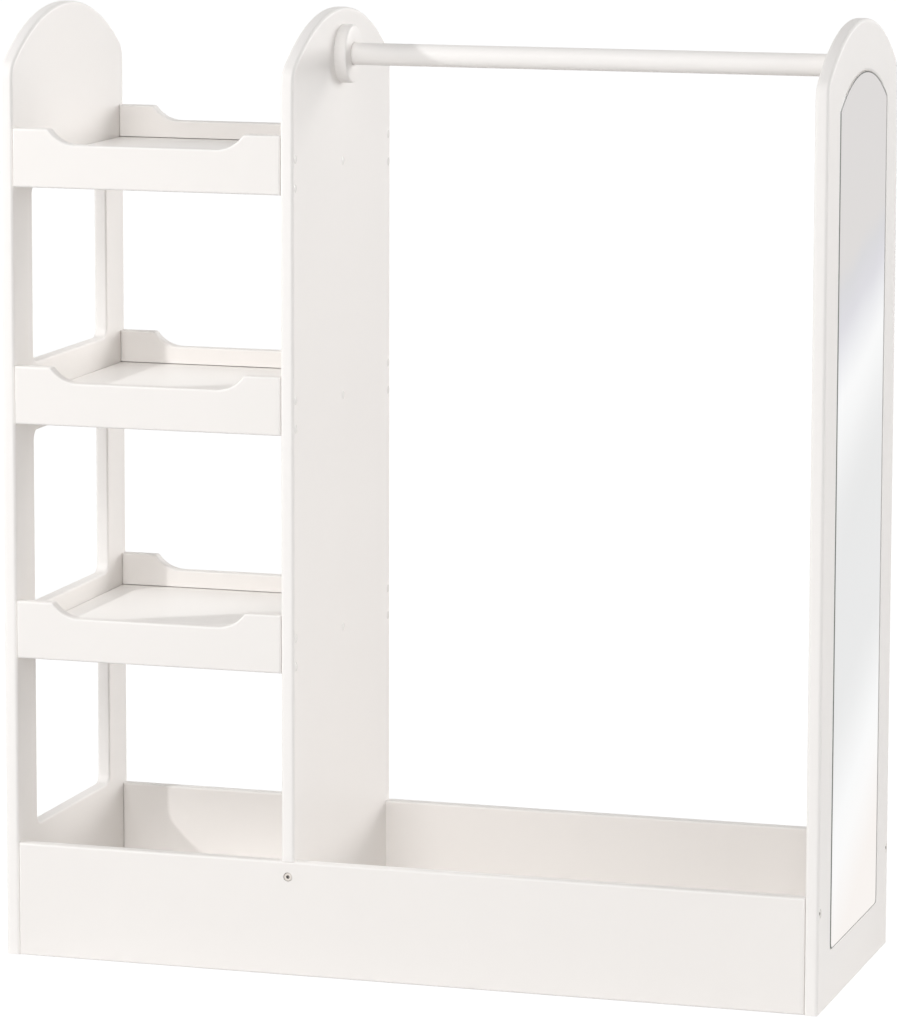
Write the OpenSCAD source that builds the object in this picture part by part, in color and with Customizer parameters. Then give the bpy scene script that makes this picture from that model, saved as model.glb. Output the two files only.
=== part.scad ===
// Dress up storage unit for a child's room: three arched panels carry a column of
// scalloped trays, a hanging rod and a long toy box, and a mirror is let into the right side.
// Millimetres. X runs along the width, Y from front to back, Z up.
// The origin is on the floor, under the middle of the unit.

/* [Overall size] */
// Width over the two outer panels
unit_w = 980; // [860:10:1200]
// Depth from front to back
unit_d = 368; // [330:2:420]
// Height to the top of the arches
unit_h = 1114; // [1080:2:1300]

/* [Arched panels] */
// Thickness of the three arched panels
panel_t = 16; // [15:1:22]
// Radius where an arch runs into the panel's straight edge
spring_r = 28; // [10:1:60]
// Rounding of the panels' edges
panel_edge_r = 4; // [1:0.5:6]
// Clear width of the shelf bay, between the left and the middle panel
shelf_bay_w = 326; // [250:2:420]

/* [Windows of the left panel] */
// Width of the frame left in front of and behind the windows
window_stile = 62; // [40:1:100]
// Radius of the windows' corners
window_corner_r = 11; // [4:1:30]
// Height of the lower window's sill above the toy box
lower_sill_rise = 10; // [0:1:40]
// Height of the middle window's sill above the bottom of the lower tray
middle_sill_rise = 52.5; // [40:0.5:90]
// Height of the upper window's sill above the bottom of the middle tray
upper_sill_rise = 65.5; // [40:0.5:90]
// Drop of the lower window's head below the lower tray
lower_head_drop = 3; // [2:0.5:10]
// Drop of the middle window's head below the middle tray
middle_head_drop = 16.5; // [2:0.5:30]
// Drop of the upper window's head below the upper tray
upper_head_drop = 3.5; // [2:0.5:10]

/* [Boards] */
// Thickness of the toy box boards and the trays' front and back boards
board_t = 16; // [14:1:20]
// Rounding of the boards' edges
board_edge_r = 3; // [1:0.5:5]
// Depth of the grooves that hold the trays' and the box's floors
groove_d = 5; // [3:0.5:7]
// Play of a floor in its groove
groove_play = 0.2; // [0.1:0.05:0.5]

/* [Toy box] */
// Height of the box's front and back boards
box_h = 135; // [110:1:180]
// Thickness of the box's floors
box_floor_t = 9; // [6:1:12]
// Height of the box floors' underside
box_floor_rise = 20; // [10:1:40]

/* [Trays] */
// Height of the lower tray's boards above the ground
lower_tray_z = 356; // [340:1:400]
// Drop of the upper tray's boards below the top of the arches
upper_tray_drop = 204; // [195:1:230]
// Height of a tray's front and back boards at their ends
tray_h = 68; // [56:1:90]
// Depth of the dip in a tray board's top edge
tray_dip = 17.5; // [8:0.5:24]
// Length of the level shoulder at each end of a tray board
shoulder_w = 42; // [25:1:70]
// Radius of the curve from the shoulder down to the dip
sweep_r = 40; // [30:1:60]
// Radius that eases the shoulder into that curve
shoulder_r = 5; // [2:0.5:10]
// Height of a tray floor's underside above the bottom of its boards
tray_floor_rise = 20; // [14:1:22]
// Thickness of a tray's floor
tray_floor_t = 9; // [6:1:10]

/* [Mirror] */
// Thickness of the mirror
mirror_t = 3; // [2:0.5:3.5]
// Frame of panel left round the mirror, at its sides and its arch
mirror_margin = 60; // [40:1:90]
// Height of the mirror's recess above the ground
mirror_foot = 62; // [40:1:120]
// Radius of the mirror's lower corners
mirror_corner_r = 8; // [2:1:20]
// Gap round the mirror in its recess
mirror_gap = 1; // [0.5:0.1:2]
// Width of the bevel on the mirror's face
mirror_bevel_w = 4; // [2:0.5:8]
// Drop of that bevel at the mirror's edge
mirror_bevel_d = 0.8; // [0.4:0.1:1.2]
// Thickness of the mounting tape behind the mirror
tape_t = 1; // [0.5:0.25:1.5]
// Width of one strip of that tape
tape_w = 24; // [12:1:30]

/* [Hanging rod] */
// Diameter of the rod
rod_d = 26; // [20:1:32]
// Drop of the rod's axis below the top of the arches
rod_drop = 54; // [48:1:80]
// Radial play of the rod in its flanges
rod_play = 0.08; // [0.04:0.01:0.1]
// Gap at each end of the rod
rod_end_gap = 0.5; // [0.4:0.1:1.5]
// Chamfer on the rod's ends
rod_chamfer = 1.5; // [0.5:0.25:2.5]
// Diameter of a flange
flange_d = 68; // [56:1:80]
// Thickness of a flange
flange_t = 14; // [12:1:20]
// Thickness of the floor left under a flange's socket
flange_floor_t = 4; // [3.5:0.5:5]
// Rounding of a flange's rim
flange_rim_r = 2.5; // [1:0.5:4]
// Chamfer at the mouth of a flange's socket
mouth_chamfer = 1; // [0.5:0.25:2]

/* [Connector screws] */
// Diameter of the connector screws' shanks
connector_d = 6; // [5:0.5:7]
// Length of the shanks under their heads
connector_l = 44; // [36:1:60]
// Diameter of the connector screws' heads
connector_head_d = 10.5; // [9:0.5:12]
// Height of the connector screws' heads
connector_head_h = 5; // [4:0.5:6]
// Depth of the heads' faces below the surface
connector_sink = 0.5; // [0.2:0.1:1]
// Drop of the connector screws below the top edge of the box's boards
connector_drop = 18; // [12:1:30]
// Width across the flats of the hexagon sockets in their heads
hex_af = 5; // [4:0.5:5.5]

/* [Dowels] */
// Diameter of the dowels
dowel_d = 8; // [6:0.5:8]
// Length of the dowels
dowel_l = 34; // [26:1:40]
// Depth of the dowels in the outer piece of a joint
dowel_in = 11; // [8:0.5:12]
// Height of the dowels above the ground
dowel_z = 62; // [52:1:75]

/* [Screws and caps] */
// Diameter of the screws' shanks
screw_d = 4; // [3:0.5:5]
// Length of the tray screws
screw_l = 36; // [28:1:44]
// Length of the flange screws
flange_screw_l = 13; // [10:0.5:13.5]
// Diameter of the screws' heads
screw_head_d = 8; // [7:0.5:9]
// Height of the screws' heads
screw_head_h = 3; // [2:0.25:3]
// Height of the lower tray screw above the bottom of its board
low_screw_rise = 8; // [6:0.5:12]
// Height of the upper tray screw above the bottom of its board
high_screw_rise = 41; // [36:0.5:46]
// Diameter of the caps over the screws
cap_d = 10; // [9.5:0.5:12]
// Thickness of the caps
cap_t = 1.5; // [1:0.25:2]

/* [Hidden] */
$fn = 64;

paint_white = "whitesmoke";
over = 1; // how far a cutter runs past the face that it cuts
bore_play = 0.1; // radial play of fasteners in their bores
cap_play = 0.1; // radial play of a cap in its counterbore
end_play = 1; // space left past the end of a fastener
head_gap = 0.2; // gap between a screw's head and its cap
socket_depth_share = 0.6; // a hexagon socket's depth as a share of the head's height

// Places across the width
left_x = -unit_w / 2;
right_x = unit_w / 2;
shelf_x0 = left_x + panel_t;
shelf_x1 = shelf_x0 + shelf_bay_w;
hang_x0 = shelf_x1 + panel_t;
hang_x1 = right_x - panel_t;
hang_w = hang_x1 - hang_x0;

// Places from front to back
half_d = unit_d / 2;
board_in_y = half_d - board_t;
board_mid_y = half_d - board_t / 2;
floor_half_d = board_in_y + groove_d - groove_play;

// The arch runs into a rounding at each springing. The rounding's centre lies 3 out and 4 up
// from the arch's centre, so the arch's radius follows from the depth.
spring_way = [3, 4];
spring_y = half_d - spring_r;
spring_rise = spring_y * spring_way.y / spring_way.x;
arch_r = spring_r + norm([spring_y, spring_rise]);
arch_z = unit_h - arch_r;
spring_z = arch_z + spring_rise;

// Heights
upper_tray_z = unit_h - upper_tray_drop;
middle_tray_z = (lower_tray_z + upper_tray_z) / 2;
tray_levels = [lower_tray_z, middle_tray_z, upper_tray_z];
window_sills = [box_h + lower_sill_rise, lower_tray_z + middle_sill_rise,
    middle_tray_z + upper_sill_rise];
window_heads = [lower_tray_z - lower_head_drop, middle_tray_z - middle_head_drop,
    upper_tray_z - upper_head_drop];
rod_z = unit_h - rod_drop;
connector_z = box_h - connector_drop;
dip_z = tray_h - tray_dip;

// The mirror's recess
recess_d = mirror_t + tape_t;
mirror_half_w = half_d - mirror_margin;

// ---------- shared shapes ----------

// Rectangle from the origin with all four corners rounded
module eased_rect(w, h, r) {
    translate([r, 0]) square([w - 2 * r, h]);
    translate([0, r]) square([w, h - 2 * r]);
    for (x = [r, w - r], y = [r, h - r]) translate([x, y]) circle(r);
}

// Stands a flat outline up in the YZ plane and gives it a thickness along +X
module along_x(t) rotate([90, 0, 90]) linear_extrude(t) children();

// Stands a flat outline up in the XZ plane, from y to y + t
module along_y(y, t) translate([0, y + t, 0]) rotate([90, 0, 0]) linear_extrude(t) children();

// Half section of a disc whose rim is rounded on both faces
module rim_section(r, t, edge_r) {
    square([r - edge_r, t]);
    translate([0, edge_r]) square([r, t - 2 * edge_r]);
    for (z = [edge_r, t - edge_r]) translate([r - edge_r, z]) circle(edge_r);
}

// The part of such a disc, centred at c in the YZ plane, that lies between the directions to a and b
module rim_sector(c, r, a, b)
    intersection() {
        translate([0, c.x, c.y]) rotate([90, 0, 90]) rotate_extrude()
            rim_section(r, panel_t, panel_edge_r);
        along_x(panel_t) polygon([c, a, b]);
    }

// The plain arched panel, with its left face at x
module arched_panel(x) {
    arch_c = [0, arch_z];
    spring_c = [spring_y, spring_z];
    beyond = 2 * spring_c - arch_c; // straight on from the arch's centre through the rounding's
    translate([x, 0, 0]) {
        linear_extrude(spring_z) translate([0, -half_d]) eased_rect(panel_t, unit_d, panel_edge_r);
        rim_sector(arch_c, arch_r, beyond, [-beyond.x, beyond.y]);
        front_and_back() rim_sector(spring_c, spring_r, [beyond.x, spring_z], beyond);
    }
}

// Repeats its children at the front and mirrored at the back
module front_and_back() {
    children();
    mirror([0, 1, 0]) children();
}

// A board that lies along X, with every edge that shows eased
module eased_board(x0, x1, y, h)
    intersection() {
        translate([x0, y, 0]) linear_extrude(h) eased_rect(x1 - x0, board_t, board_edge_r);
        translate([x0, y, 0]) along_x(x1 - x0) eased_rect(board_t, h, board_edge_r);
    }

// ---------- joints ----------

// The six joints of the base at height z: each child points +Z out of the outer piece's face
module base_joints(z)
    front_and_back() {
        let ($outer_t = panel_t) {
            translate([left_x, -board_mid_y, z]) rotate([0, -90, 0]) children();
            translate([right_x, -board_mid_y, z]) rotate([0, 90, 0]) children();
        }
        let ($outer_t = board_t)
            translate([shelf_x1 + panel_t / 2, -half_d, z]) rotate([90, 0, 0]) children();
    }

// The screws that hold the trays: two in each board's end and one in each floor's end
module tray_joints()
    for (z = tray_levels) {
        front_and_back() for (rise = [low_screw_rise, high_screw_rise])
            tray_joint_pair(-board_mid_y, z + rise) children();
        tray_joint_pair(0, z + tray_floor_rise + tray_floor_t / 2) children();
    }

module tray_joint_pair(y, z) {
    translate([left_x, y, z]) rotate([0, -90, 0]) children();
    translate([hang_x0, y, z]) rotate([0, 90, 0]) children();
}

// The two flange joints: each child points +Z from the panel's face along the rod
module flange_joints() {
    translate([hang_x0, 0, rod_z]) rotate([0, 90, 0]) children();
    translate([hang_x1, 0, rod_z]) rotate([0, -90, 0]) children();
}

// Cylinder from depth z0 down to depth z1 below the local origin
module below(z0, z1, d) translate([0, 0, -z1]) cylinder(h = z1 - z0, d = d);

module connector_bore() {
    head_end = connector_sink + connector_head_h;
    below(-over, head_end, connector_head_d + 2 * bore_play);
    below(0, head_end + connector_l + end_play, connector_d + 2 * bore_play);
}

module dowel_bore()
    below($outer_t - dowel_in - end_play, $outer_t - dowel_in + dowel_l + end_play,
        dowel_d + 2 * bore_play);

module tray_screw_bore() {
    seat = cap_t + head_gap;
    below(-over, seat, cap_d + 2 * cap_play);
    translate([0, 0, -seat - screw_head_h]) screw_head(bore_play);
    below(seat, seat + screw_l + end_play, screw_d + 2 * bore_play);
}

module flange_screw_bore()
    below(-over, flange_screw_l - flange_floor_t + end_play, screw_d + 2 * bore_play);

// ---------- panels ----------

module left_panel()
    color(paint_white) difference() {
        arched_panel(left_x);
        for (i = [0 : len(window_sills) - 1])
            translate([left_x - over, window_stile - half_d, window_sills[i]])
                along_x(panel_t + 2 * over) eased_rect(unit_d - 2 * window_stile,
                    window_heads[i] - window_sills[i], window_corner_r);
        base_joints(connector_z) connector_bore();
        base_joints(dowel_z) dowel_bore();
        tray_joints() tray_screw_bore();
    }

module middle_panel()
    color(paint_white) difference() {
        arched_panel(shelf_x1);
        // notches over the box's front and back boards
        front_and_back() translate([shelf_x1 - over, -half_d - over, -over])
            cube([panel_t + 2 * over, board_t + over, box_h + over]);
        base_joints(connector_z) connector_bore();
        base_joints(dowel_z) dowel_bore();
        tray_joints() tray_screw_bore();
        flange_joints() flange_screw_bore();
    }

module right_panel()
    color(paint_white) difference() {
        arched_panel(hang_x1);
        translate([right_x - recess_d, 0, 0]) along_x(recess_d + over) mirror_outline(0);
        base_joints(connector_z) connector_bore();
        base_joints(dowel_z) dowel_bore();
        flange_joints() flange_screw_bore();
    }

// ---------- mirror ----------

// The mirror's outline follows the panel's, and gap draws it in all round
module mirror_outline(gap) {
    half_w = mirror_half_w - gap;
    r = arch_r - mirror_margin - gap;
    corner_z = arch_z + sqrt(r * r - half_w * half_w);
    foot = mirror_foot + gap;
    corner_r = mirror_corner_r - gap;
    translate([-half_w, foot + corner_r]) square([2 * half_w, corner_z - foot - corner_r]);
    translate([-half_w + corner_r, foot]) square([2 * (half_w - corner_r), corner_r]);
    for (y = [corner_r - half_w, half_w - corner_r]) translate([y, foot + corner_r]) circle(corner_r);
    intersection() {
        translate([0, arch_z]) circle(r);
        translate([-half_w, corner_z]) square([2 * half_w, unit_h - corner_z]);
    }
}

module mirror_plate() {
    half_w = mirror_half_w - mirror_gap;
    r = arch_r - mirror_margin - mirror_gap;
    foot = mirror_foot + mirror_gap;
    edge_t = mirror_t - mirror_bevel_d;
    color("silver") translate([right_x - mirror_t, 0, 0]) intersection() {
        along_x(mirror_t) mirror_outline(mirror_gap);
        // bevels on the two upright edges
        linear_extrude(unit_h) polygon([[0, -half_w], [edge_t, -half_w],
            [mirror_t, mirror_bevel_w - half_w], [mirror_t, half_w - mirror_bevel_w],
            [edge_t, half_w], [0, half_w]]);
        // bevels on the foot and the arch
        union() {
            along_y(-half_d, unit_d) polygon([[0, foot], [edge_t, foot],
                [mirror_t, foot + mirror_bevel_w], [mirror_t, arch_z], [0, arch_z]]);
            translate([0, 0, arch_z]) rotate([90, 0, 90]) rotate_extrude()
                polygon([[0, 0], [r, 0], [r, edge_t], [r - mirror_bevel_w, mirror_t], [0, mirror_t]]);
        }
    }
}

// Strips of foam tape in the recess, behind the mirror
module mirror_tape() {
    top_z = arch_z + arch_r - 2 * mirror_margin;
    bottom_z = mirror_foot + mirror_margin / 2;
    color("dimgray") for (y = [-1, 0, 1] * (mirror_half_w - mirror_margin / 2))
        translate([right_x - recess_d, y - tape_w / 2, bottom_z])
            cube([tape_t, tape_w, top_z - mirror_margin - bottom_z]);
}

// ---------- toy box ----------

// Groove for a floor, in the inner face of the front board that spans x0 to x1
module floor_groove(x0, x1, z, t)
    translate([x0 - over, -board_in_y - groove_d, z - groove_play])
        cube([x1 - x0 + 2 * over, groove_d + over, t + 2 * groove_play]);

module box_front()
    color(paint_white) difference() {
        eased_board(shelf_x0, hang_x1, -half_d, box_h);
        floor_groove(shelf_x0, hang_x1, box_floor_rise, box_floor_t);
        base_joints(connector_z) connector_bore();
        base_joints(dowel_z) dowel_bore();
    }

module box_back() mirror([0, 1, 0]) box_front();

// A floor held in the grooves of the boards in front of and behind it
module grooved_floor(x0, x1, z, t)
    translate([x0, -floor_half_d, z]) cube([x1 - x0, 2 * floor_half_d, t]);

module left_box_floor()
    color(paint_white) grooved_floor(shelf_x0, shelf_x1, box_floor_rise, box_floor_t);

module right_box_floor()
    color(paint_white) grooved_floor(hang_x0, hang_x1, box_floor_rise, box_floor_t);

// ---------- trays ----------

// Outline of one end of a tray board: the shoulder, and the curve down to the dip
module scallop_end() {
    ease_c = [shoulder_w, tray_h - shoulder_r];
    rise = sweep_r - tray_dip + shoulder_r;
    sweep_c = [shoulder_w + sqrt(pow(sweep_r + shoulder_r, 2) - rise * rise), dip_z + sweep_r];
    touch = sweep_c + (ease_c - sweep_c) * sweep_r / (sweep_r + shoulder_r);
    square([shoulder_w, tray_h]);
    translate(ease_c) circle(shoulder_r);
    difference() {
        polygon([[shoulder_w, 0], [sweep_c.x, 0], [sweep_c.x, dip_z], touch, ease_c]);
        translate(sweep_c) circle(sweep_r);
    }
}

module tray_board_outline() {
    square([shelf_bay_w, dip_z]);
    scallop_end();
    translate([shelf_bay_w, 0]) mirror([1, 0]) scallop_end();
}

// Front board of the tray at level z
module tray_board(z)
    difference() {
        translate([shelf_x0, 0, z]) intersection() {
            along_y(-half_d, board_t) tray_board_outline();
            translate([0, -half_d, 0]) linear_extrude(tray_h)
                eased_rect(shelf_bay_w, board_t, board_edge_r);
            translate([0, -half_d, 0]) along_x(shelf_bay_w)
                eased_rect(board_t, 2 * tray_h, board_edge_r);
        }
        floor_groove(shelf_x0, shelf_x1, z + tray_floor_rise, tray_floor_t);
        tray_joints() tray_screw_bore();
    }

module tray_front(z) color(paint_white) tray_board(z);

module tray_back(z) color(paint_white) mirror([0, 1, 0]) tray_board(z);

module tray_floor(z)
    color(paint_white) difference() {
        grooved_floor(shelf_x0, shelf_x1, z + tray_floor_rise, tray_floor_t);
        tray_joints() tray_screw_bore();
    }

// ---------- hanging rod ----------

module hanging_rod() {
    gap = flange_floor_t + rod_end_gap;
    l = hang_w - 2 * gap;
    r = rod_d / 2;
    color("white") translate([hang_x0 + gap, 0, rod_z]) rotate([0, 90, 0]) rotate_extrude()
        polygon([[0, 0], [r - rod_chamfer, 0], [r, rod_chamfer], [r, l - rod_chamfer],
            [r - rod_chamfer, l], [0, l]]);
}

// Round flange with a blind socket, standing on the panel's face along +Z
module rod_flange() {
    socket_d = rod_d + 2 * rod_play;
    difference() {
        rotate_extrude() {
            square([flange_d / 2 - flange_rim_r, flange_t]);
            square([flange_d / 2, flange_t - flange_rim_r]);
            translate([flange_d / 2 - flange_rim_r, flange_t - flange_rim_r]) circle(flange_rim_r);
        }
        translate([0, 0, flange_floor_t]) cylinder(h = flange_t, d = socket_d);
        translate([0, 0, flange_t - mouth_chamfer])
            cylinder(h = mouth_chamfer + over, d1 = socket_d, d2 = socket_d + 2 * (mouth_chamfer + over));
        below(-flange_floor_t - over, over, screw_d + 2 * bore_play);
        translate([0, 0, flange_floor_t - screw_head_h]) screw_head(bore_play);
    }
}

module left_rod_flange()
    color(paint_white) translate([hang_x0, 0, rod_z]) rotate([0, 90, 0]) rod_flange();

module right_rod_flange()
    color(paint_white) translate([hang_x1, 0, rod_z]) rotate([0, -90, 0]) rod_flange();

// ---------- fasteners ----------

// Countersunk head that stands from the origin up to the head's height
module screw_head(play)
    rotate_extrude() polygon([[0, 0], [screw_d / 2 + play, 0],
        [screw_head_d / 2 + play, screw_head_h], [0, screw_head_h]]);

// Screw whose head's face is at depth z, with a cross cut for the driver
module screw(z, l) {
    slot_d = screw_head_h / 2;
    slot_w = screw_head_h / 3;
    difference() {
        union() {
            translate([0, 0, -z - screw_head_h]) screw_head(0);
            below(z + screw_head_h, z + l, screw_d);
        }
        for (a = [0, 90]) translate([0, 0, -z]) rotate(a)
            cube([screw_d, slot_w, 2 * slot_d], center = true);
    }
}

module flange_screws()
    color("silver") flange_joints() screw(-flange_floor_t, flange_screw_l);

module tray_screws()
    color("silver") tray_joints() screw(cap_t + head_gap, screw_l);

module screw_caps()
    color(paint_white) tray_joints() below(0, cap_t, cap_d);

module connector_screws() {
    head_end = connector_sink + connector_head_h;
    color("darkgray") base_joints(connector_z) difference() {
        union() {
            below(connector_sink, head_end, connector_head_d);
            below(head_end, head_end + connector_l, connector_d);
        }
        translate([0, 0, -connector_sink - connector_head_h * socket_depth_share])
            cylinder(h = connector_head_h, d = hex_af / cos(30), $fn = 6);
    }
}

module base_dowels()
    color("burlywood") base_joints(dowel_z)
        below($outer_t - dowel_in, $outer_t - dowel_in + dowel_l, dowel_d);

// ---------- the unit ----------

left_panel();
middle_panel();
right_panel();
mirror_plate();  // mirror
mirror_tape();
box_front();
box_back();
left_box_floor();
right_box_floor();
tray_front(upper_tray_z);  // upper_tray_front
tray_back(upper_tray_z);  // upper_tray_back
tray_floor(upper_tray_z);  // upper_tray_floor
tray_front(middle_tray_z);  // middle_tray_front
tray_back(middle_tray_z);  // middle_tray_back
tray_floor(middle_tray_z);  // middle_tray_floor
tray_front(lower_tray_z);  // lower_tray_front
tray_back(lower_tray_z);  // lower_tray_back
tray_floor(lower_tray_z);  // lower_tray_floor
hanging_rod();
left_rod_flange();
right_rod_flange();
flange_screws();
connector_screws();
base_dowels();
tray_screws();
screw_caps();
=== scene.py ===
# %% [markdown]
# # A dress up storage unit, finished over its CAD frame
#
# The real object is a child's wardrobe without doors: three arched panels, a column of
# scalloped trays, a hanging rod, a long toy box and a mirror let into the right side. All of
# it is fibreboard under white satin paint, apart from the mirror and the metal fasteners.
#
# The CAD model says where each part is and how big it is. The script loads it as a fixed frame, then
# models each visible part again with the soft edges and finishes of the real one, and hides the CAD part
# that each new piece stands for.

# %% Load the frame
import math

import bmesh
import bpy
from mathutils import Matrix, Vector


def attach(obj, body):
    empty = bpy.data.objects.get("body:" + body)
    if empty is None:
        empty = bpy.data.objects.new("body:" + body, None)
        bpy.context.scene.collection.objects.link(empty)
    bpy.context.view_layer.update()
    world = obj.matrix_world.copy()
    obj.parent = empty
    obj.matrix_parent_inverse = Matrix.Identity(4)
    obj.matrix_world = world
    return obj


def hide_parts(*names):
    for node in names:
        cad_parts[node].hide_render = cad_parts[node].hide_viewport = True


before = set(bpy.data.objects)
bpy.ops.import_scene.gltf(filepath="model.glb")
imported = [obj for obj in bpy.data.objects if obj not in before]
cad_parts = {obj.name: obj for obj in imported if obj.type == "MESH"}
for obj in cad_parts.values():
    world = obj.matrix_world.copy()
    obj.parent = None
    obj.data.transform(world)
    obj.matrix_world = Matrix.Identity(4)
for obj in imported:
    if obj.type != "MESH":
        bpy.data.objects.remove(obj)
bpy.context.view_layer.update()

# %% [markdown]
# ## Tools of the bench
#
# Measures are written in millimetres, as on a drawing, and Blender works in metres, so one
# small function turns a drawn place into a Blender vector. Operators act on whatever is
# selected, and the loaded frame arrives selected, so the bench is cleared before each job.

# %% Measures and a clear bench
MM = 0.001


def place(x, y, z):
    """A place on the drawing, in millimetres, as a Blender vector."""
    return Vector((x, y, z)) * MM


def clear_bench():
    """Leaves edit mode and lets go of everything."""
    if bpy.context.mode != "OBJECT":
        bpy.ops.object.mode_set(mode="OBJECT")
    bpy.ops.object.select_all(action="DESELECT")


def take(piece, mode="EDGE"):
    """Puts one piece on the bench, in edit mode, with nothing of it selected."""
    clear_bench()
    bpy.context.view_layer.objects.active = piece
    piece.select_set(True)
    bpy.ops.object.mode_set(mode="EDIT")
    bpy.ops.mesh.select_mode(type=mode)
    bpy.ops.mesh.select_all(action="DESELECT")
    return bmesh.from_edit_mesh(piece.data)


clear_bench()
print("bench clear, frame parts:", len(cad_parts))

# %% [markdown]
# ## The camera
#
# The photograph was taken with a long lens from front right, a little above the unit. The
# place and the turn of the camera were worked out from the corners of the unit. The turn is
# built from three directions: where the camera looks, its right and its up.

# %% Camera
EYE = Vector((1.76191, -5.82124, 1.50213))
YAW, PITCH, ROLL = 0.29427, 0.13987, 0.00244
LENS_IN_PIXELS, LONG_SIDE = 5244.88, 1024

ahead = Vector((-math.sin(YAW) * math.cos(PITCH), math.cos(YAW) * math.cos(PITCH), -math.sin(PITCH)))
level = Vector((math.cos(YAW), math.sin(YAW), 0))
rise = level.cross(ahead)
right = level * math.cos(ROLL) + rise * math.sin(ROLL)
upward = rise * math.cos(ROLL) - level * math.sin(ROLL)

lens = bpy.data.cameras.new("camera")
camera = bpy.data.objects.new("camera", lens)
bpy.context.scene.collection.objects.link(camera)
lens.sensor_width = 36
lens.lens = LENS_IN_PIXELS * lens.sensor_width / LONG_SIDE
lens.shift_y = -0.10
lens.clip_start, lens.clip_end = 0.1, 200
camera.location = EYE
camera.rotation_mode = "QUATERNION"
turn = Matrix((right, upward, -ahead)).transposed()
camera.rotation_quaternion = turn.to_quaternion()
bpy.context.scene.camera = camera
print("lens in millimetres:", round(lens.lens, 2))

# %% [markdown]
# ## Light
#
# The shadows in the photograph tell where its lamps stood. A small one, three metres off at
# the front left and above, throws the windows' crisp shadows on the tray floors. Two soft
# ones behind on the right, one high and one low, light the faces that look that way. A
# broad one high in front reaches over the front boards into the trays and the toy box, and
# a window on the right lifts the mirror's side. The camera and the mirror see a pure white
# world, while the boards are lit by a dimmer one, so that they keep their colour.

# %% Lamps and world
def sun(name, way, strength, softness):
    """A lamp so far off that its light is parallel, shining along the given way."""
    lamp = bpy.data.lights.new(name, "SUN")
    lamp.energy, lamp.angle = strength, math.radians(softness)
    holder = bpy.data.objects.new(name, lamp)
    bpy.context.scene.collection.objects.link(holder)
    holder.rotation_mode = "QUATERNION"
    holder.rotation_quaternion = Vector(way).to_track_quat("-Z", "Y")
    return holder


def window_light(name, spot, target, wide, high, power):
    """A flat lamp of a given size, in metres and watts, turned towards a target."""
    lamp = bpy.data.lights.new(name, "AREA")
    lamp.shape, lamp.size, lamp.size_y, lamp.energy = "RECTANGLE", wide, high, power
    holder = bpy.data.objects.new(name, lamp)
    bpy.context.scene.collection.objects.link(holder)
    holder.location = spot
    holder.rotation_mode = "QUATERNION"
    holder.rotation_quaternion = (Vector(target) - Vector(spot)).to_track_quat("-Z", "Y")
    return holder


MIDDLE = (0, 0, 0.5)
window_light("key_lamp", (-2.7, -1.55, 2.1), MIDDLE, 0.12, 0.12, 44)
sun("high_rear_lamp", (-1, -1.2, -1.22), 0.3, 32)
sun("low_rear_lamp", (-1, -1.25, -0.25), 1.75, 32)
sun("front_fill", (-0.05, 1, -0.57), 1.28, 26)
window_light("right_fill", (2.6, -3.0, 1.3), MIDDLE, 1.6, 1.6, 13)

world = bpy.data.worlds.new("studio")
bpy.context.scene.world = world
world.use_nodes = True
world.node_tree.nodes.clear()
bpy.context.scene.view_settings.view_transform = "Standard"
print("lamps and world made")

# %% [markdown]
# ## Writing finishes as sums
#
# A finish is a graph of nodes, but it reads better as arithmetic. A Wire stands for one
# socket of the graph, and adding or multiplying wires adds the Math nodes. A Finish owns
# the graph. Its add method makes any other node from its type, its settings and what goes
# into its sockets. A ramp's stops are a setting too.

# %% Wires and finishes
class Wire:
    """One value in a finish's graph, so that a mask can be written as a sum."""

    def __init__(self, finish, socket):
        self.finish, self.socket = finish, socket

    def sum(self, operation, first, second):
        """Adds a Math node for two values or wires."""
        return self.finish.add("Math", {"operation": operation}, {0: first, 1: second})

    def __add__(self, other):
        return self.sum("ADD", self, other)

    def __sub__(self, other):
        return self.sum("SUBTRACT", self, other)

    def __rsub__(self, other):
        return self.sum("SUBTRACT", other, self)

    def __mul__(self, other):
        return self.sum("MULTIPLY", self, other)

    __radd__, __rmul__ = __add__, __mul__


def set_stops(band, stops):
    """Sets a ramp's stops. A stop is a position, then one grey or three colour values."""
    while len(band.elements) < len(stops):
        band.elements.new(0.5)
    for element, (position, *tone) in zip(band.elements, stops):
        element.position, element.color = position, (*(tone if len(tone) == 3 else tone * 3), 1)


class Finish:
    """The graph of a material, or of the world."""

    def __init__(self, tree):
        self.tree = tree

    def add(self, kind, settings, sockets, out=0):
        """Adds a node, sets its settings, then fills its sockets with values or wires."""
        made = self.tree.nodes.new("ShaderNode" + kind)
        for name, value in settings.items():
            if name == "stops":
                set_stops(made.color_ramp, value)
            else:
                setattr(made, name, value)
        for name, value in sockets.items():
            if isinstance(value, Wire):
                self.tree.links.new(value.socket, made.inputs[name])
            else:
                made.inputs[name].default_value = value
        return Wire(self, made.outputs[out]) if len(made.outputs) else made

    def mix(self, amount, first, second):
        """A colour between two colours."""
        return self.add("Mix", {"data_type": "RGBA"}, {0: amount, 6: first, 7: second}, out=2)


def new_finish(name):
    """An empty material, and its graph."""
    material = bpy.data.materials.new(name)
    material.use_nodes = True
    material.node_tree.nodes.clear()
    return material, Finish(material.node_tree)


def surface(graph, sockets, fixed):
    """Ends a finish with the shader that most surfaces use."""
    shader = graph.add("BsdfPrincipled", {}, {**fixed, **sockets})
    graph.add("OutputMaterial", {}, {"Surface": shader})


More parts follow.
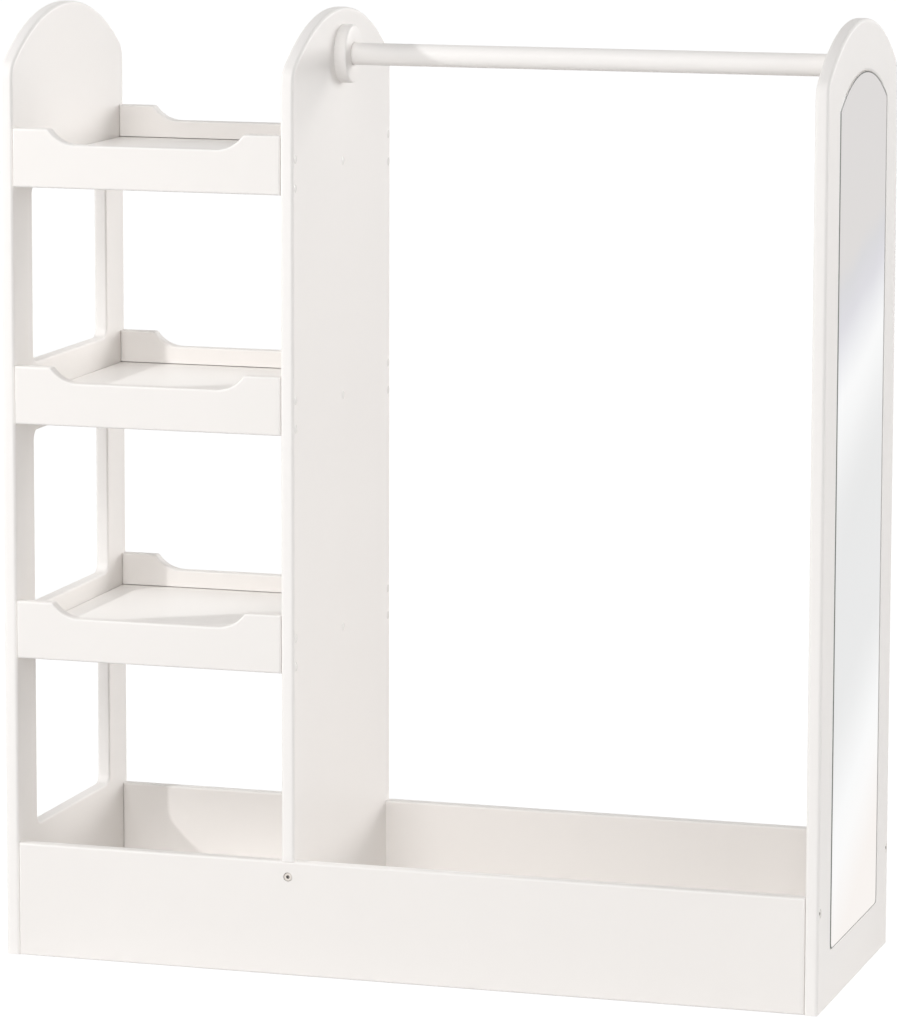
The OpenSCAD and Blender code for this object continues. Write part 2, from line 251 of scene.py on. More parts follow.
# %% World for the lamps and for the eye
studio = Finish(world.node_tree)
rays = studio.add("LightPath", {}, {}).socket.node
seen = Wire(studio, rays.outputs["Is Camera Ray"]) + Wire(studio, rays.outputs["Is Glossy Ray"])
seen = seen + Wire(studio, rays.outputs["Is Transmission Ray"])
soft = studio.add("Background", {}, {"Color": (0.24, 0.24, 0.24, 1), "Strength": 1.0})
white = studio.add("Background", {}, {"Color": (1, 1, 1, 1), "Strength": 1.0})
studio.add("OutputWorld", {}, {"Surface": studio.add("MixShader", {}, {0: seen, 1: soft, 2: white})})
print("world nodes:", len(world.node_tree.nodes))

# %% [markdown]
# ## The studio floor
#
# A pale sheet of paper under the unit. It is nearly white to the eye and keeps a faint shadow. The
# mirror shows broad bands, brighter and greyer, to the right of the unit: these are painted reflections,
# which the floor gives off by place to reflected rays only.

# %% Floor
bpy.ops.mesh.primitive_plane_add(size=60, location=(0, 0, -0.0003))
floor = bpy.context.object
floor.name = "studio_floor"

paper, graph = new_finish("studio_paper")
where = graph.add("TexCoord", {}, {}, out=3)
across = graph.add("SeparateXYZ", {}, {0: where}).socket.node
BANDS_FROM, BANDS_WIDE, BANDS_SLANT = 0.5, 0.6, 0.153
rightward, backward = (Wire(graph, across.outputs[way]) for way in (0, 1))
band = (rightward - BANDS_SLANT * backward - BANDS_FROM) * (1 / BANDS_WIDE)
painted_reflection_bands = graph.add("ValToRGB", {"stops": [
    (0.03, 0.975, 0.93, 0.90), (0.08, 1.0, 0.99, 0.985), (0.11, 0.985), (0.14, 0.93), (0.17, 0.875),
    (0.20, 0.845), (0.36, 0.835), (0.41, 0.85), (0.455, 0.89), (0.51, 0.95), (0.568, 0.99),
    (0.635, 0.88, 0.88, 0.90), (0.708, 0.755, 0.745, 0.785), (0.79, 0.725, 0.72, 0.74),
    (0.85, 0.76, 0.735, 0.725)]}, {"Fac": band})
rays = graph.add("LightPath", {}, {}).socket.node
glossy = Wire(graph, rays.outputs["Is Glossy Ray"])
camera_ray = Wire(graph, rays.outputs["Is Camera Ray"])
# Reflected rays see the glowing bands of painted reflection, and camera rays see an even white.
shown = graph.mix(glossy, (1.17, 1.17, 1.17, 1), painted_reflection_bands)
glow = graph.add("Emission", {}, {"Color": shown, "Strength": 1.0})
sheet = graph.add("BsdfDiffuse", {}, {"Color": (0.85, 0.85, 0.85, 1), "Roughness": 0.0})
graph.add("OutputMaterial", {}, {"Surface": graph.add(
    "MixShader", {}, {0: glossy + camera_ray * 0.8, 1: sheet, 2: glow})})
floor.data.materials.append(paper)
print("floor laid")

# %% [markdown]
# ## White satin paint
#
# The boards are fibreboard, sprayed with satin white paint. Close up such paint has a fine orange peel
# about 3 mm across, a few grains of dust, and it lies a little duller on the routed edges, where the
# board drinks it. The routed edges are also coloured lighter, a painted highlight for the light that the
# rounded edges catch. The floors take a lighter copy of the same paint, painted light for the brighter
# light that falls on the up-facing floors. The shader's own coordinates tell the edges from the faces: a
# face's normal points along the board's thickness, an edge's does not.

# %% Paint
PAINT = (0.872, 0.842, 0.815)
# A lighter colour for the routed edges: a painted highlight, not a property of the paint.
PAINTED_EDGE_HIGHLIGHT = (0.912, 0.887, 0.865)
# The floors take a lighter copy of the paint: painted light, for the brighter light that falls on the
# up-facing floors.
FLOOR_PAINT_WITH_PAINTED_LIGHT = (0.945, 0.920, 0.893)


def paint(name, thickness_axis, colour=PAINT, dullness=0.31):
    """Satin paint for boards whose thickness runs along x, y or z (0, 1 or 2)."""
    material, graph = new_finish(name)
    spot = graph.add("TexCoord", {}, {}, out=3)
    facing = graph.add("TexCoord", {}, {}, out=1)
    sides = graph.add("SeparateXYZ", {}, {0: facing}).socket.node
    flat = graph.add("Math", {"operation": "ABSOLUTE"}, {0: Wire(graph, sides.outputs[thickness_axis])})
    edge = graph.add("MapRange", {"interpolation_type": "SMOOTHSTEP"},
                     {"Value": flat, "From Min": 0.999, "From Max": 0.90, "To Min": 0.0, "To Max": 1.0})
    cloud = graph.add("TexNoise", {}, {"Vector": spot, "Scale": 6.0, "Detail": 3.0})
    peel = graph.add("TexNoise", {}, {"Vector": spot, "Scale": 330.0, "Detail": 2.0, "Roughness": 0.45})
    wave = graph.add("TexNoise", {}, {"Vector": spot, "Scale": 22.0, "Detail": 1.0})
    grain = graph.add("TexNoise", {}, {"Vector": spot, "Scale": 1400.0, "Detail": 2.0})
    dust = graph.add("TexVoronoi", {}, {"Vector": spot, "Scale": 45.0, "Randomness": 1.0})
    nib = graph.add("MapRange", {"interpolation_type": "SMOOTHSTEP"},
                    {"Value": dust, "From Min": 0.030, "From Max": 0.012, "To Min": 0.0, "To Max": 1.0})
    tint = graph.mix(cloud, (*[0.988 * c for c in colour], 1), (*[1.012 * c for c in colour], 1))
    # The edges are mixed towards the lighter colour: a painted highlight for the light that the rounded
    # edges catch.
    tone_with_edge_highlight = graph.mix(edge * 0.8, tint, (*PAINTED_EDGE_HIGHLIGHT, 1))
    rough = dullness + 0.05 * peel + 0.04 * cloud + 0.42 * edge
    height = peel * (1 - 0.5 * edge) + 3.0 * wave + 0.35 * (grain * edge) + 1.6 * nib
    bump = graph.add("Bump", {}, {"Height": height, "Distance": 0.000014, "Strength": 1.0})
    surface(graph, {"Base Color": tone_with_edge_highlight, "Roughness": rough, "Normal": bump}, {"IOR": 1.5})
    return material


paint_upright = paint("paint_on_upright_panels", 0)
paint_board = paint("paint_on_boards", 1)
paint_floor = paint("paint_on_floors_with_painted_light", 2, FLOOR_PAINT_WITH_PAINTED_LIGHT)
print("paints mixed:", paint_upright.name, paint_board.name, paint_floor.name)

# %% [markdown]
# ## Drawing an outline with a pencil
#
# The panels and boards are flat shapes with straight lines and arcs. A cube would need many
# cuts to reach them. Instead the outline is drawn: a small plane is merged to one vertex,
# the pencil's point. Extruding the point draws a line, and spinning it draws an arc that
# starts exactly where the line ends. The closed outline is filled and extruded.

# %% Pencil
def pencil(name, x, y, z):
    """Starts a piece as one vertex, at a place in millimetres."""
    clear_bench()
    bpy.ops.mesh.primitive_plane_add(size=MM, location=place(x, y, z))
    piece = bpy.context.object
    piece.name = piece.data.name = name
    bpy.ops.object.transform_apply(location=True, rotation=False, scale=False)
    take(piece, "VERT")
    bpy.ops.mesh.select_all(action="SELECT")
    bpy.ops.mesh.merge(type="CENTER")
    return piece


def line_to(x, y, z):
    """Draws a straight line from the pencil's point."""
    mesh = bmesh.from_edit_mesh(bpy.context.object.data)
    point = next(v.co.copy() for v in mesh.verts if v.select)
    bpy.ops.mesh.extrude_region_move(TRANSFORM_OT_translate={"value": place(x, y, z) - point})


def arc(centre, angle, steps, axis):
    """Draws an arc round a centre. A positive angle runs against the right hand rule."""
    bpy.ops.mesh.spin(steps=steps, angle=angle, center=place(*centre), axis=axis)


def thicken(way):
    """Closes and fills the drawn outline, and gives it a thickness, in millimetres."""
    bpy.ops.mesh.select_all(action="SELECT")
    bpy.ops.mesh.remove_doubles(threshold=0.02 * MM)
    bpy.ops.mesh.edge_face_add()
    bpy.ops.mesh.extrude_region_move(TRANSFORM_OT_translate={"value": place(*way)})
    bpy.ops.mesh.select_all(action="SELECT")
    bpy.ops.mesh.normals_make_consistent(inside=False)
    clear_bench()


def tell(piece):
    """Prints what a piece has, and whether its skin is closed."""
    mesh = bmesh.new()
    mesh.from_mesh(piece.data)
    gaps = sum(len(edge.link_faces) != 2 for edge in mesh.edges)
    volume = mesh.calc_volume() * 1e6
    print(f"{piece.name}: {len(mesh.faces)} faces, {gaps} open edges, {volume:.1f} cm3")
    mesh.free()


# %% [markdown]
# ## Cutting, and rounding the edges
#
# Windows, recesses and screw holes are cut with a Boolean modifier that is applied at once.
# The real edges are routed round before painting. Each edge that shows gets a bevel weight,
# a share of the full radius, and one Bevel modifier rounds them all, so that neighbouring
# roundings meet cleanly. The weighted normals then keep the flat faces flat to the eye.

# %% Cutting and rounding
def cut(piece, cutter):
    """Cuts a piece by the shape of another, and throws that one away."""
    clear_bench()
    bpy.context.view_layer.objects.active = piece
    cutting = piece.modifiers.new("cut", "BOOLEAN")
    cutting.operation, cutting.solver, cutting.object = "DIFFERENCE", "EXACT", cutter
    bpy.ops.object.modifier_apply(modifier=cutting.name)
    bpy.data.objects.remove(cutter)


def mark_edges(piece, share, test):
    """Gives the sharp edges whose middle passes the test a share of the rounding's radius."""
    mesh = take(piece)
    for edge in mesh.edges:
        middle = (edge.verts[0].co + edge.verts[1].co) / 2 / MM
        if edge.calc_face_angle(0) > math.radians(35) and test(*middle):
            edge.select_set(True)
    chosen = sum(edge.select for edge in mesh.edges)
    bmesh.update_edit_mesh(piece.data)
    bpy.ops.transform.edge_bevelweight(value=share)
    clear_bench()
    return chosen


def round_edges(piece, radius, segments=4):
    """Rounds the marked edges."""
    clear_bench()
    bpy.context.view_layer.objects.active = piece
    rounding = piece.modifiers.new("rounding", "BEVEL")
    rounding.limit_method, rounding.width, rounding.segments = "WEIGHT", radius * MM, segments
    rounding.use_clamp_overlap = False
    bpy.ops.object.modifier_apply(modifier=rounding.name)


SHARP = math.radians(38)


def shade(piece):
    """Shades a piece smooth, apart from its sharp edges."""
    clear_bench()
    bpy.context.view_layer.objects.active = piece
    piece.select_set(True)
    bpy.ops.object.shade_smooth_by_angle(angle=SHARP)


def smooth(piece):
    """Shades the roundings smooth and keeps the flat faces flat."""
    shade(piece)
    even = piece.modifiers.new("even", "WEIGHTED_NORMAL")
    even.keep_sharp = True
    bpy.ops.object.modifier_apply(modifier=even.name)


def score(piece, way, places):
    """Scores straight lines across a piece, where planes that face the given way cross it."""
    take(piece)
    for spot in places:
        bpy.ops.mesh.select_all(action="SELECT")
        bpy.ops.mesh.bisect(plane_co=place(*[spot * part for part in way]), plane_no=way)
    clear_bench()


def block(name, low, high):
    """A rectangular block between two corners, in millimetres."""
    clear_bench()
    low, high = place(*low), place(*high)
    bpy.ops.mesh.primitive_cube_add(size=1, location=(low + high) / 2, scale=high - low)
    piece = bpy.context.object
    piece.name = piece.data.name = name
    bpy.ops.object.transform_apply(location=True, rotation=True, scale=True)
    return piece


def dress(piece, material, slot, body, *nodes):
    """Paints a piece, hides the CAD parts it stands for, and hangs it on the body that carries it."""
    if material:
        piece.data.materials.clear()
        piece.data.materials.append(material)
    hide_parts(*nodes)
    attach(piece, body)
    tell(piece)


# %% [markdown]
# ## The arched panels
#
# Three upright panels of 16 mm board. Their outline is one path: up the front edge, a small
# rounding where the edge runs into the arch, the arch, and the same down the back. The
# small rounding and the arch share a tangent, so the spins join without a kink.

# %% Outline of a panel
THICK = 16
OUTER, INNER = 490, 474
MIDDLE_LEFT, MIDDLE_RIGHT = -148, -132
HALF_DEPTH = 184
BEHIND_BOARD = HALF_DEPTH - THICK
TOP_OF_EDGE = 1034
SPRING_RADIUS, SPRING_TURN = 28, math.atan2(4, 3)
ARCH_HEIGHT = 826
ALONG_X = (1, 0, 0)
PANEL_ROUNDING = 4


def arched_panel(name, x, foot_steps):
    """A panel from x to x + THICK. The foot's steps are places along its front foot."""
    piece = pencil(name, x, *foot_steps[0])
    for step in foot_steps[1:]:
        line_to(x, *step)
    line_to(x, -HALF_DEPTH, TOP_OF_EDGE)
    arc((x, SPRING_RADIUS - HALF_DEPTH, TOP_OF_EDGE), SPRING_TURN, 12, ALONG_X)
    arc((x, 0, ARCH_HEIGHT), math.pi - 2 * SPRING_TURN, 44, ALONG_X)
    arc((x, HALF_DEPTH - SPRING_RADIUS, TOP_OF_EDGE), SPRING_TURN, 12, ALONG_X)
    for y, z in reversed(foot_steps):
        line_to(x, -y, z)
    line_to(x, *foot_steps[0])
    thicken((THICK, 0, 0))
    return piece


reach = math.hypot(HALF_DEPTH - SPRING_RADIUS, TOP_OF_EDGE - ARCH_HEIGHT)
print("arch radius:", reach + SPRING_RADIUS, "top:", ARCH_HEIGHT + reach + SPRING_RADIUS)

# %% [markdown]
# Small round holes sit over the screws, at the front, the middle and the back of each tray and low down
# on the toy box. One cylinder is placed for each, and the cylinders for one kind of hole are joined
# before they cut, so that a panel is cut once for each kind.

# %% Holes
TRAY_LEVELS = (356, 633, 910)
IN_BOARD = 176
LOW_SCREW, FLOOR_SCREW, HIGH_SCREW = 8, 24.5, 41
TRAY_SCREWS = ((-IN_BOARD, LOW_SCREW), (-IN_BOARD, HIGH_SCREW), (0, FLOOR_SCREW),
               (IN_BOARD, LOW_SCREW), (IN_BOARD, HIGH_SCREW))
SCREW_PLACES = [(y, level + height) for level in TRAY_LEVELS for y, height in TRAY_SCREWS]
CAP_HOLE = {"radius": 5.1, "depth": 1.7}
CONNECTOR_HOLE = {"radius": 5.35, "depth": 5.5}
CONNECTOR_HEIGHT = 117


def drills(places, way, radius, depth):
    """Round cutters that go a depth into a face, against the way that the face looks."""
    way = Vector(way)
    clear_bench()
    made = []
    for spot in places:
        centre = place(*spot) + way * (1 - depth) * MM / 2
        bpy.ops.mesh.primitive_cylinder_add(
            vertices=40, radius=radius * MM, depth=(depth + 1) * MM, location=centre,
            rotation=way.to_track_quat("Z", "Y").to_euler())
        made.append(bpy.context.object)
    for piece in made:
        piece.select_set(True)
    if len(made) > 1:
        bpy.ops.object.join()
    bpy.ops.object.transform_apply(location=True, rotation=True, scale=True)
    return bpy.context.object


print("cap holes in a panel:", len(SCREW_PLACES))

# %% [markdown]
# ### Left panel
#
# It has three windows, one behind each bay of the trays. Their corners have a radius of
# 11 mm and their edges are routed a little less than the outside.

# %% Left panel
WINDOWS = ((145, 353), (408.5, 616.5), (698.5, 906.5))
WINDOW_HALF = 122
WINDOW_CORNER = 11


def window_cutter(x, low, high):
    """A window's shape, thick enough to go right through the panel."""
    side, base, head = WINDOW_HALF - WINDOW_CORNER, low + WINDOW_CORNER, high - WINDOW_CORNER
    piece = pencil("window", x, -WINDOW_HALF, base)
    line_to(x, -WINDOW_HALF, head)
    for centre, next_line in (((-side, head), (side, high)), ((side, head), (WINDOW_HALF, base)),
                              ((side, base), (-side, low)), ((-side, base), None)):
        arc((x, *centre), math.pi / 2, 8, ALONG_X)
        if next_line:
            line_to(x, *next_line)
    thicken((THICK + 4, 0, 0))
    return piece


SCREW_ROWS = sorted({z for y, z in SCREW_PLACES})
window_middles = [(low + high) / 2 for low, high in WINDOWS]
left_panel = arched_panel("left_panel_piece", -OUTER, [(-HALF_DEPTH, 0)])
score(left_panel, (0, 0, 1), [CONNECTOR_HEIGHT, *SCREW_ROWS, *window_middles])
for low, high in WINDOWS:
    cut(left_panel, window_cutter(-OUTER - 2, low, high))


def outside(x, y, z):
    """Edges of a panel's outline, above the foot."""
    return z > 1 and (abs(y) > HALF_DEPTH - 1 or z > TOP_OF_EDGE - 1)


def at_foot(x, y, z):
    """Edges that stand on the ground."""
    return z < 1


def in_window(x, y, z):
    """Edges round the windows."""
    return abs(y) < WINDOW_HALF + 0.5 and any(low - 0.5 < z < high + 0.5 for low, high in WINDOWS)


mark_edges(left_panel, 1.0, outside)
mark_edges(left_panel, 0.2, at_foot)
print("window edges:", mark_edges(left_panel, 0.7, in_window))
round_edges(left_panel, PANEL_ROUNDING)
cut(left_panel, drills([(-OUTER, y, z) for y, z in SCREW_PLACES], (-1, 0, 0), **CAP_HOLE))
cut(left_panel, drills([(-OUTER, y, CONNECTOR_HEIGHT) for y in (-IN_BOARD, IN_BOARD)],
                       (-1, 0, 0), **CONNECTOR_HOLE))
smooth(left_panel)
dress(left_panel, paint_upright, "painted_board", "unit", "left_panel")

# %% [markdown]
# ### Middle and right panel
#
# The middle panel stands on notches over the toy box's boards. The right panel is whole,
# and has a shallow recess that follows its outline for the mirror.

# %% Middle panel
BOX_HEIGHT = 135
middle_panel = arched_panel("middle_panel_piece", MIDDLE_LEFT, [
    (-BEHIND_BOARD, 0), (-BEHIND_BOARD, BOX_HEIGHT), (-HALF_DEPTH, BOX_HEIGHT)])
score(middle_panel, (0, 0, 1), SCREW_ROWS)
mark_edges(middle_panel, 1.0, lambda x, y, z: z > BOX_HEIGHT + 1 and outside(x, y, z))
round_edges(middle_panel, PANEL_ROUNDING)
cut(middle_panel, drills([(MIDDLE_RIGHT, y, z) for y, z in SCREW_PLACES], (1, 0, 0), **CAP_HOLE))
smooth(middle_panel)
dress(middle_panel, paint_upright, "painted_board", "unit", "middle_panel")

# %% Right panel and its recess
MIRROR_HALF, MIRROR_RADIUS, MIRROR_FOOT, MIRROR_CORNER = 124, 228, 62, 8
MIRROR_TOP = ARCH_HEIGHT + MIRROR_RADIUS
RECESS_FLOOR = 486


def mirror_shape(name, x, gap, way):
    """The mirror's outline, drawn in by a gap all round."""
    half, radius, foot = MIRROR_HALF - gap, MIRROR_RADIUS - gap, MIRROR_FOOT + gap
    corner = MIRROR_CORNER - gap
    lean = math.asin(half / radius)
    top = ARCH_HEIGHT + radius * math.cos(lean)
    piece = pencil(name, x, -half, foot + corner)
    line_to(x, -half, top)
    arc((x, 0, ARCH_HEIGHT), 2 * lean, 40, ALONG_X)
    line_to(x, half, foot + corner)
    arc((x, half - corner, foot + corner), math.pi / 2, 6, ALONG_X)
    line_to(x, corner - half, foot)
    arc((x, corner - half, foot + corner), math.pi / 2, 6, ALONG_X)
    thicken(way)
    return piece


def round_recess(x, y, z):
    """Edges of the recess in the panel's face."""
    across = abs(y) < MIRROR_HALF + 1 and MIRROR_FOOT - 2 < z < MIRROR_TOP + 2
    return x > OUTER - 0.5 and across and (abs(y) > MIRROR_HALF - 1 or z > 1000 or z < 71)


right_panel = arched_panel("right_panel_piece", INNER, [(-HALF_DEPTH, 0)])
score(right_panel, (0, 0, 1), [CONNECTOR_HEIGHT])
cut(right_panel, mirror_shape("recess", RECESS_FLOOR, 0, (8, 0, 0)))
mark_edges(right_panel, 1.0, outside)
mark_edges(right_panel, 0.2, at_foot)
mark_edges(right_panel, 0.12, round_recess)
round_edges(right_panel, PANEL_ROUNDING)
cut(right_panel, drills([(OUTER, y, CONNECTOR_HEIGHT) for y in (-IN_BOARD, IN_BOARD)],
                        (1, 0, 0), **CONNECTOR_HOLE))
smooth(right_panel)
dress(right_panel, paint_upright, "painted_board", "unit", "right_panel")

# %% [markdown]
# ## The mirror
#
# A plate of 3 mm glass with a narrow bevel all round. The outline is extruded to the height of the
# bevel's outer edge, then its face is inset and pushed out, which makes the bevel as a strip of flat
# facets, and drawn in a little more at the long sides. The silver stops short of the bevel, which is
# matt and coloured dark grey: painted shade for the thin dark line of shadow along the mirror's edge.
# The cut edge of the glass is matt too, and slightly green.

# %% Mirror finishes
def glass_mirror():
    """Silvered glass, with a faint wave and a little haze."""
    material, graph = new_finish("silvered_glass")
    spot = graph.add("TexCoord", {}, {}, out=3)
    wave = graph.add("TexNoise", {}, {"Vector": spot, "Scale": 5.0, "Detail": 1.0})
    haze = graph.add("TexNoise", {}, {"Vector": spot, "Scale": 40.0, "Detail": 4.0, "Roughness": 0.6})
    bump = graph.add("Bump", {}, {"Height": wave, "Distance": 0.00012, "Strength": 1.0})
    silver = graph.mix(haze, (0.955, 0.962, 0.962, 1), (0.965, 0.968, 0.97, 1))
    surface(graph, {"Base Color": silver, "Roughness": 0.012 + 0.02 * haze, "Normal": bump},
            {"Metallic": 1.0})
    return material


def bevel_with_painted_shade():
    """The matt bevel, coloured dark grey: painted shade for the shadow line along the mirror's edge."""
    material, graph = new_finish("glass_bevel_painted_dark")
    spot = graph.add("TexCoord", {}, {}, out=3)
    grit = graph.add("TexNoise", {}, {"Vector": spot, "Scale": 900.0, "Detail": 2.0})
    surface(graph, {"Base Color": graph.mix(grit, (0.08, 0.09, 0.085, 1), (0.14, 0.15, 0.145, 1)),
                    "Roughness": 0.45 + 0.1 * grit}, {"IOR": 1.45})
    return material


def ground_edge():
    """The cut edge of the glass."""
    material, graph = new_finish("ground_glass_edge")
    spot = graph.add("TexCoord", {}, {}, out=3)
    grit = graph.add("TexNoise", {}, {"Vector": spot, "Scale": 2500.0, "Detail": 2.0})
    bump = graph.add("Bump", {}, {"Height": grit, "Distance": 0.00002, "Strength": 1.0})
    surface(graph, {"Base Color": graph.mix(grit, (0.46, 0.54, 0.50, 1), (0.60, 0.68, 0.64, 1)),
                    "Roughness": 0.35 + 0.2 * grit, "Normal": bump}, {"IOR": 1.5})
    return material


# %% Mirror
GLASS_THICK, TAPE_THICK, MIRROR_GAP = 3, 1, 0.6
BEVEL_WIDE, BEVEL_DROP, SIDE_SHARE = 0.7, 1.2, 0.966
mirror = mirror_shape("mirror_piece", RECESS_FLOOR + TAPE_THICK, MIRROR_GAP,
                      (GLASS_THICK - BEVEL_DROP, 0, 0))
mesh = take(mirror, "FACE")
for face in mesh.faces:
    face.select_set(face.normal.x > 0.9)
bmesh.update_edit_mesh(mirror.data)
bpy.ops.mesh.inset(thickness=BEVEL_WIDE * MM, depth=BEVEL_DROP * MM)
bpy.ops.transform.resize(value=(1, SIDE_SHARE, 1), center_override=(0, 0, 0))
clear_bench()
mirror.data.materials.append(glass_mirror())
mirror.data.materials.append(bevel_with_painted_shade())
mirror.data.materials.append(ground_edge())
# The flat face is silver, the bevel takes the dark finish of painted shade, and the cut edge is
# green-grey.
for face in mirror.data.polygons:
    face.material_index = 0 if face.normal.x > 0.999 else 1 if face.normal.x > 0.2 else 2
dress(mirror, None, "mirror_glass", "unit", "mirror")

# %% [markdown]
# ## The toy box
#
# A front and a back board run the whole width, between the outer panels and under the
# middle one. Every long edge is rounded, and a groove inside holds the floors. The back
# board is a mirrored copy. Each is shaded smooth only after that, because a mirrored mesh
# doesn't keep the shading normals that smoothing stores.

# %% Toy box boards
FLOOR_LEVEL, FLOOR_THICK, FLOOR_HALF = 20, 9, 172.8
MIDDLE_AXIS = (MIDDLE_LEFT + MIDDLE_RIGHT) / 2


def groove(low_x, high_x, level):
    """The cutter for the groove that holds a floor."""
    return block("groove", (low_x - 1, -FLOOR_HALF - 0.2, level - 0.2),
                 (high_x + 1, 1 - BEHIND_BOARD, level + FLOOR_THICK + 1))


def on_faces(y):
    """Whether an edge lies on the front or the inner face of a front board."""
    return y < 0.1 - HALF_DEPTH or y > -0.1 - BEHIND_BOARD


def in_groove(z, level=0):
    """Whether an edge lies at the groove of a board that stands at a level."""
    return FLOOR_LEVEL - 5 < z - level < FLOOR_LEVEL + FLOOR_THICK + 4


box_front = block("box_front_piece", (-INNER, -HALF_DEPTH, 0), (INNER, -BEHIND_BOARD, BOX_HEIGHT))
score(box_front, (1, 0, 0), [MIDDLE_AXIS])
cut(box_front, groove(-INNER, INNER, FLOOR_LEVEL))
mark_edges(box_front, 1.0, lambda x, y, z: on_faces(y) and not in_groove(z))
round_edges(box_front, 3)
cut(box_front, drills([(MIDDLE_AXIS, -HALF_DEPTH, CONNECTOR_HEIGHT)], (0, -1, 0), **CONNECTOR_HOLE))


def copy_of(piece, name):
    """A copy with a mesh of its own."""
    clear_bench()
    piece.select_set(True)
    bpy.context.view_layer.objects.active = piece
    bpy.ops.object.duplicate(linked=False)
    twin = bpy.context.object
    twin.name = twin.data.name = name
    return twin


def turn_to_back(piece):
    """Mirrors a board from the front to the back."""
    take(piece)
    bpy.ops.mesh.select_all(action="SELECT")
    bpy.ops.transform.mirror(constraint_axis=(False, True, False), center_override=(0, 0, 0))
    bpy.ops.mesh.normals_make_consistent(inside=False)
    clear_bench()


box_back = copy_of(box_front, "box_back_piece")
turn_to_back(box_back)
for piece, node in ((box_front, "box_front"), (box_back, "box_back")):
    smooth(piece)
    dress(piece, paint_board, "painted_board", "unit", node)

# %% Toy box floors
def floor_board(name, low_x, high_x, level):
    """A floor that reaches into its grooves, with a small gap at each side."""
    gap = 0.7
    piece = block(name, (low_x + gap, -FLOOR_HALF, level),
                  (high_x - gap, FLOOR_HALF, level + FLOOR_THICK))
    mark_edges(piece, 1.0, lambda x, y, z: True)
    round_edges(piece, 0.6, 2)
    smooth(piece)
    return piece


for node, low, high in (("left_box_floor", -INNER, MIDDLE_LEFT),
                        ("right_box_floor", MIDDLE_RIGHT, INNER)):
    piece = floor_board(node + "_piece", low, high, FLOOR_LEVEL)
    dress(piece, paint_floor, "painted_board", "unit", node)

# %% [markdown]
# ## The trays
#
# Three trays, each with a scalloped board in front and behind: a level shoulder at each end,
# then a curve down to a long dip. One board is drawn, and all six are copies of it. One
# floor is made and copied in the same way.

# %% Tray board
BAY = (-INNER, MIDDLE_LEFT)
TRAY_TALL, DIP = 68, 50.5
SHOULDER, SHOULDER_RADIUS, SWEEP_RADIUS = 42, 5, 40
SWEEP_RISE = SWEEP_RADIUS - (TRAY_TALL - DIP) + SHOULDER_RADIUS
SWEEP_TURN = math.acos(SWEEP_RISE / (SWEEP_RADIUS + SHOULDER_RADIUS))
SWEEP_REACH = (SWEEP_RADIUS + SHOULDER_RADIUS) * math.sin(SWEEP_TURN)


def tray_board(name, level):
    """The front board of the tray at a level."""
    left, right = BAY
    y = -HALF_DEPTH
    ease, sweep = level + TRAY_TALL - SHOULDER_RADIUS, level + DIP + SWEEP_RADIUS
    near, far = left + SHOULDER, left + SHOULDER + SWEEP_REACH
    along_y = (0, 1, 0)
    piece = pencil(name, left, y, level)
    line_to(left, y, level + TRAY_TALL)
    line_to(near, y, level + TRAY_TALL)
    arc((near, y, ease), -SWEEP_TURN, 6, along_y)
    arc((far, y, sweep), SWEEP_TURN, 14, along_y)
    line_to(left + right - far, y, level + DIP)
    arc((left + right - far, y, sweep), SWEEP_TURN, 14, along_y)
    arc((left + right - near, y, ease), -SWEEP_TURN, 6, along_y)
    line_to(right, y, level + TRAY_TALL)
    line_to(right, y, level)
    line_to(left, y, level)
    thicken((0, THICK, 0))
    return piece


LOWEST = TRAY_LEVELS[0]
board = tray_board("tray_board", LOWEST)
cut(board, groove(*BAY, LOWEST + FLOOR_LEVEL))
mark_edges(board, 1.0, lambda x, y, z: on_faces(y) and not in_groove(z, LOWEST))
round_edges(board, 2.8)
tell(board)

# %% Copies of the tray board
def lift(piece, height):
    """Moves a piece up, in its mesh."""
    take(piece)
    bpy.ops.mesh.select_all(action="SELECT")
    bpy.ops.transform.translate(value=place(0, 0, height))
    clear_bench()


for tray, level in zip(("lower", "middle", "upper"), TRAY_LEVELS):
    for side in ("front", "back"):
        node = f"{tray}_tray_{side}"
        piece = copy_of(board, node + "_piece")
        lift(piece, level - LOWEST)
        if side == "back":
            turn_to_back(piece)
        smooth(piece)
        dress(piece, paint_board, "painted_board", "unit", node)
bpy.data.objects.remove(board)

# %% Tray floors
tray_floor = floor_board("tray_floor", *BAY, LOWEST + FLOOR_LEVEL)
for tray, level in zip(("lower", "middle", "upper"), TRAY_LEVELS):
    node = f"{tray}_tray_floor"
    piece = copy_of(tray_floor, node + "_piece")
    lift(piece, level - LOWEST)
    dress(piece, paint_floor, "painted_board", "unit", node)
bpy.data.objects.remove(tray_floor)

# %% [markdown]
# ## The hanging rod and its flanges
#
# The rod and the two flanges are turned shapes, so half of each section is drawn and spun a
# full turn about the rod's axis. Spinning can leave the shape inside out, so the doubles
# are merged and the normals worked out again. The second flange is a copy of the first,
# turned half round to face it.

# %% Turning
ROD_HEIGHT = 1060


def turned(name, section, steps, height=ROD_HEIGHT):
    """A section of pairs (x, radius) spun about an axis along x, at a height."""
    (x, radius), *others = section
    piece = pencil(name, x, 0, height + radius)
    for x, radius in others:
        line_to(x, 0, height + radius)
    bpy.ops.mesh.select_all(action="SELECT")
    bpy.ops.mesh.spin(steps=steps, angle=2 * math.pi, center=place(0, 0, height), axis=ALONG_X)
    bpy.ops.mesh.select_all(action="SELECT")
    bpy.ops.mesh.remove_doubles(threshold=0.002 * MM)
    bpy.ops.mesh.normals_make_consistent(inside=False)
    shade(piece)
    return piece


def corner(x, radius, size, start, turn_by, steps=5):
    """Points of a quarter round in a section, about a centre."""
    angles = [start + turn_by * i / steps for i in range(steps + 1)]
    return [(x + size * math.cos(angle), radius + size * math.sin(angle)) for angle in angles]


